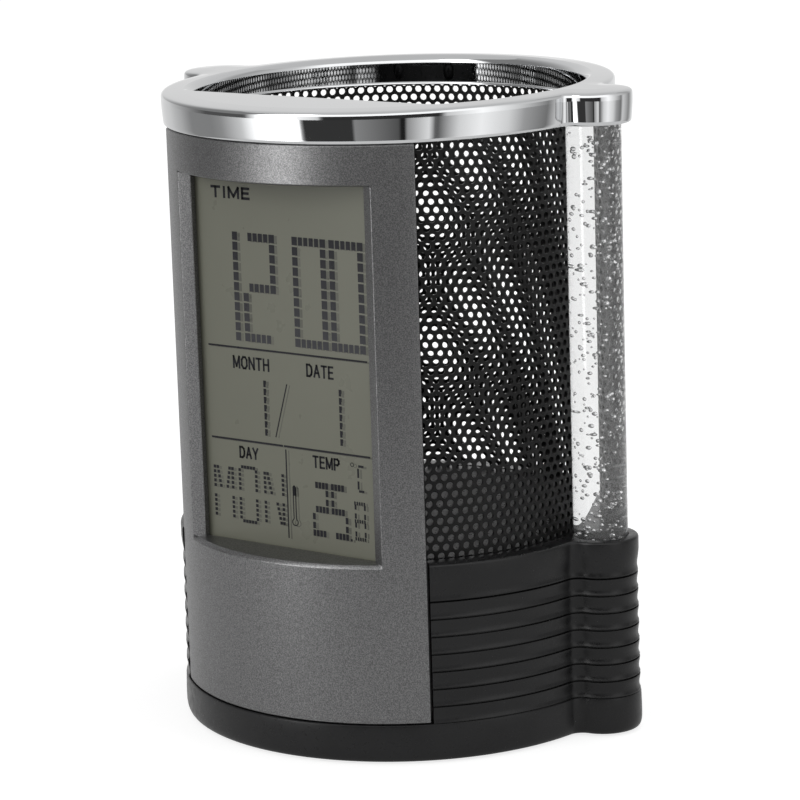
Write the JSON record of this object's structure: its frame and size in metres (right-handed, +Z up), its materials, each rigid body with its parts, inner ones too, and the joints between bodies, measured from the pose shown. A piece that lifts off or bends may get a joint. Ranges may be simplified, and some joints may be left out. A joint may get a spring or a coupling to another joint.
{
  "type": "pen holder clock",
  "caption": "Round desk pen holder: perforated metal cup on a ribbed base, upright calendar clock in its front, a clear rod at each side and a lobed chrome rim.",
  "frame": {"origin": "centre of the bounding box on the desk, where the rubber feet stand", "axes": "+Z up, -Y the way the clock's display faces, +X to the right of someone who looks at the display"},
  "size_m": [0.0936, 0.079, 0.112],
  "materials": {
    "housing_paint": "dark grey metallic lacquer",
    "display": "grey-green reflective liquid crystal",
    "black_plastic": "satin moulded",
    "key_plastic": "satin moulded",
    "perforated_metal": "black satin lacquer",
    "rim_chrome": "bright plated",
    "clear_acrylic": "polished, full of bubbles",
    "rubber": "matte",
    "circuit_board": "green lacquered laminate",
    "white_plastic": "milky",
    "cell_wrap": "plain printed sleeve",
    "steel": "nickel plated"
  },
  "bodies": {
    "clock": {"front_housing": "housing_paint", "display_glass": "display", "display_frame": "black_plastic", "lower_connector_strip": "rubber", "upper_connector_strip": "rubber", "clock_board": "circuit_board", "chip_cap": "rubber", "quartz_crystal": "steel", "buzzer": "black_plastic", "temperature_sensor": "white_plastic", "rear_cover": "black_plastic", "base_shell": "black_plastic", "mesh_sleeve": "perforated_metal", "top_rim": "rim_chrome", "left_rod": "clear_acrylic", "right_rod": "clear_acrylic", "left_lamp": "white_plastic", "right_lamp": "white_plastic", "left_lamp_board": "circuit_board", "right_lamp_board": "circuit_board", "bottom_tray": "black_plastic", "cell_1": "cell_wrap", "cell_2": "cell_wrap", "link_contact": "steel", "plus_contact": "steel", "minus_contact": "steel", "control_board": "circuit_board", "lamp_switch_case": "steel", "front_left_foot": "rubber", "front_right_foot": "rubber", "back_left_foot": "rubber", "back_right_foot": "rubber", "mode_switch": "steel", "set_switch": "steel", "down_switch": "steel", "up_switch": "steel", "cover_screw_1": "steel", "cover_screw_2": "steel", "cover_screw_3": "steel", "cover_screw_4": "steel", "tray_screw_1": "steel", "tray_screw_2": "steel", "tray_screw_3": "steel", "tray_screw_4": "steel", "tray_screw_5": "steel", "tray_screw_6": "steel", "control_screw_1": "steel", "control_screw_2": "steel"},
    "battery_door": {"battery_door": "black_plastic"},
    "lamp_knob": {"lamp_knob": "key_plastic"},
    "mode_key": {"mode_key": "key_plastic"},
    "set_key": {"set_key": "key_plastic"},
    "down_key": {"down_key": "key_plastic"},
    "up_key": {"up_key": "key_plastic"}
  },
  "joints": [
    {"name": "mode_press", "type": "slide", "parent": "clock", "child": "mode_key", "axis": [0, -1, 0], "range_m": [0, 0.0006], "stiffness_N_per_m": 250},
    {"name": "set_press", "type": "slide", "parent": "clock", "child": "set_key", "axis": [0, -1, 0], "range_m": [0, 0.0006], "stiffness_N_per_m": 250},
    {"name": "down_press", "type": "slide", "parent": "clock", "child": "down_key", "axis": [0, -1, 0], "range_m": [0, 0.0006], "stiffness_N_per_m": 250},
    {"name": "up_press", "type": "slide", "parent": "clock", "child": "up_key", "axis": [0, -1, 0], "range_m": [0, 0.0006], "stiffness_N_per_m": 250},
    {"name": "lamp_slide", "type": "slide", "parent": "clock", "child": "lamp_knob", "axis": [1, 0, 0], "range_m": [0, 0.003]},
    {"name": "door_slide", "type": "slide", "parent": "clock", "child": "battery_door", "axis": [0, 1, 0], "range_m": [0, 0.057]}
  ]
}
